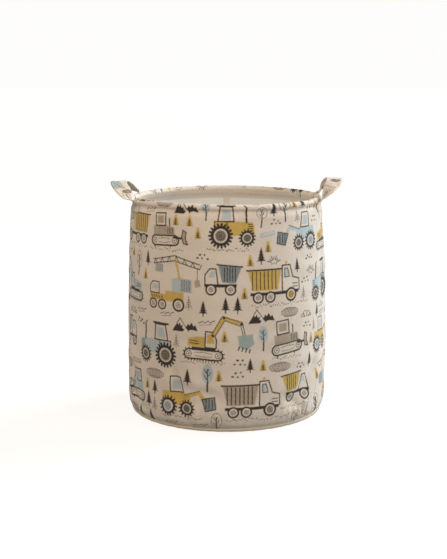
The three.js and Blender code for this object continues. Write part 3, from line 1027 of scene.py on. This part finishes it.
def strap_mesh(name, side, form, line):
    """The folded band: rounded edges, pressed seams, a slight cup and rucks, and ends that hug the hem."""
    centre, width, normal, along = line
    across = np.linspace(-1, 1, 21)
    section = [(a, 1) for a in across] + [(a, -1) for a in across[::-1]]
    free = np.clip((np.minimum(along, along[-1] - along) - 0.016) / 0.02, 0, 1)
    verts, uvs = [], []
    for i, t in enumerate(along):
        u = t / along[-1]
        outside = 1 if normal[i][:2] @ centre[i][:2] > 0 else -1
        for a, face in section:
            edge = max(0, abs(a) - 0.90) / 0.10
            half_thick = THICK * (0.62 + 0.38 * free[i]) * math.sqrt(max(0.04, 1 - edge * edge)) * face
            seam = -0.00030 * math.exp(-(((abs(a) - 0.80) / 0.07) ** 2)) * face
            bow = form["cup"] * (a * a - 0.4) * math.sin(3 * math.pi * u + 0.4)
            ruck = 0.00055 * math.sin(3.1 * a + 38 * u) * math.sin(21 * u + 2 * a)
            ruck += 0.00022 * math.sin(9 * a - 60 * u)
            hug = -outside * (HALF * a) ** 2 / (2 * HEM_FACE) * (1 - free[i])
            stand = half_thick + seam + hug + (bow + ruck) * free[i]
            verts.append(centre[i] + width[i] * HALF * a + normal[i] * stand)
            uvs.append((HALF * a + (0.05 if face > 0 else 0), t))
    n, m = len(along), len(section)
    cap = np.array([(j, j + 1, m - 2 - j, m - 1 - j) for j in range(len(across) - 1)])
    faces = np.concatenate([grid_faces(n, m, False, True)[:, [0, 3, 2, 1]], cap[:, ::-1], cap + (n - 1) * m])
    ob = new_object(name, verts, faces[:, ::-1] if side < 0 else faces, M_STRAP)
    uv = np.array(uvs)
    set_uv(ob, uv)
    set_ink(ob, ink_at(uv[:, 0] + (0.120 if side > 0 else 0.020), uv[:, 1], strap_print))
    return ob


def strap_stitch(line, places, stand, face=None):
    """One stitch between two places (across, along) on one face, by default the outer, and its normal."""
    *vectors, along = line
    ends = []
    for a, x in places:
        centre, width, normal = (np.array([np.interp(x, along, v[:, c]) for c in range(3)]) for v in vectors)
        way = face or (1 if normal[:2] @ centre[:2] > 0 else -1)
        ends.append(centre + width * HALF * a + normal * way * stand)
    return ends, normal * way


def strap_thread(name, line):
    """Stitching along both edges of both faces, and a sewn box with a cross at each foot."""
    end = line[3][-1]
    sewn = []
    for face in (1, -1):
        for a in (-0.80, 0.80):
            for at in np.arange(0.020, end - 0.020, 0.0032):
                sewn.append(strap_stitch(line, ((a, at + 0.0024), (a, at)), 0.0010, face))
    for low, high in ((0.0020, 0.0150), (end - 0.0150, end - 0.0020)):
        corner = [(-0.8, low), (0.8, low), (0.8, high), (-0.8, high)]
        for i, j in ((0, 1), (1, 2), (2, 3), (3, 0), (0, 2), (1, 3)):
            (a0, t0), (a1, t1) = corner[i], corner[j]
            n = max(2, int(math.hypot((a1 - a0) * HALF, t1 - t0) / 0.0030))
            for k in range(n):
                places = [(a0 + (a1 - a0) * u, t0 + (t1 - t0) * u) for u in (k / n, (k + 0.76) / n)]
                sewn.append(strap_stitch(line, places, 0.00085))
    return stitching(name, *zip(*sewn), 0.00038)


def strap(side, name, form):
    """A strap loop and its thread."""
    line = strap_line(side, form)
    pieces = strap_mesh(name, side, form, line), strap_thread(name + "_thread", line)
    for o in pieces:
        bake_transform(o)
    return pieces


right, right_thread = strap(1, "strap_right", RIGHT)
left, left_thread = strap(-1, "strap_left", LEFT)

# ---- bodies, replaced nodes and finishes
for o in (wall, lining, tape):
    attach(o, "base")
    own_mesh(o)
for o in (roll, floor_cloth, under):
    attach(o, "base")
for o in (rim, hem_thread):
    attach(o, "rim")
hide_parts("wall_outer")
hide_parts("wall_lining")
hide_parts("side_seam_tape")
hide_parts("base_seam_roll")
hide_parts("base_lining")
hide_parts("base_outer")
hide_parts("rim_hem")
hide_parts("handle_right_strap", "tab_right_front", "tab_right_back")
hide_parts("handle_left_strap", "tab_left_front", "tab_left_back")
for name, mat in (("base_board", M_BOARD), ("rim_hoop", M_TUBE), ("hoop_plug", M_TUBE)):
    for slot in frame["nodes"][name].material_slots:
        slot.material = mat


# ---- stage, light and camera
def paper():
    """Pale studio floor, a little self-lit so that it stays pale in the bin's shadow."""
    mat = grained("floor_paper", (0.22, 0.22, 0.215), 0.9, 60, 0.02, 0.0001, 0.01)
    shader = mat.node_tree.nodes["Principled BSDF"]
    shader.inputs["Emission Color"].default_value = (1.0, 0.985, 0.96, 1)
    shader.inputs["Emission Strength"].default_value = 0.84
    return mat


def light(name, kind, place, aim, power, colour, **sizes):
    lamp = bpy.data.lights.new(name, kind)
    lamp.energy, lamp.color = power, colour
    for key, value in sizes.items():
        setattr(lamp, key, value)
    o = put(name, lamp)
    o.location = place
    o.rotation_euler = (Vector(aim) - Vector(place)).to_track_quat("-Z", "Y").to_euler()


def studio_world():
    """A white backdrop for the camera, and a dimmer, warmer light for everything else."""
    world = bpy.data.worlds.new("studio")
    world.use_nodes = True
    nt = world.node_tree
    shown = nt.nodes["Background"]
    shown.inputs["Color"].default_value = (0.99, 0.985, 0.975, 1)
    lit = node(nt, "Background", {"Color": (1.0, 0.95, 0.89, 1), "Strength": 0.25})
    seen = node(nt, "LightPath").outputs["Is Camera Ray"]
    pick = node(nt, "MixShader", {0: seen, 1: lit.outputs[0], 2: shown.outputs[0]})
    nt.links.new(pick.outputs[0], nt.nodes["World Output"].inputs["Surface"])
    return world


bpy.ops.mesh.primitive_plane_add(size=60, location=(0, 20, -0.0006))
studio_floor = bpy.context.object
studio_floor.name = "studio_floor"
studio_floor.data.materials.append(paper())
studio_floor.visible_diffuse = False  # the white floor shows, but throws no light up at the bin
light("key", "SUN", (2.6, 1.5, 1.75), (0, 0, 0), 3.3, (0.83, 0.92, 1.0), angle=math.radians(34))
light("side", "AREA", (2.3, -1.2, 1.1), (0, 0, 0.28), 22, (0.96, 0.96, 1.0), size=1.4)
light("fill", "AREA", (-0.65, -1.45, 1.75), (0, 0, 0.35), 21, (1.0, 0.82, 0.66), size=1.0)
light("back_fill", "AREA", (-1.9, 1.3, 1.3), (0, 0, 0.3), 6, (1.0, 0.93, 0.86), size=1.2)
bpy.context.scene.world = studio_world()

cam_data = bpy.data.cameras.new("camera")
cam_data.sensor_width = 36
cam_data.lens = 73.2236
cam = put("camera", cam_data)
cam.location = (0.0, -2.262, 0.669)
cam.rotation_euler = (math.pi / 2 - 0.1791, 0, 0.0026)
bpy.context.scene.camera = cam
bpy.context.scene.view_settings.view_transform = "Standard"
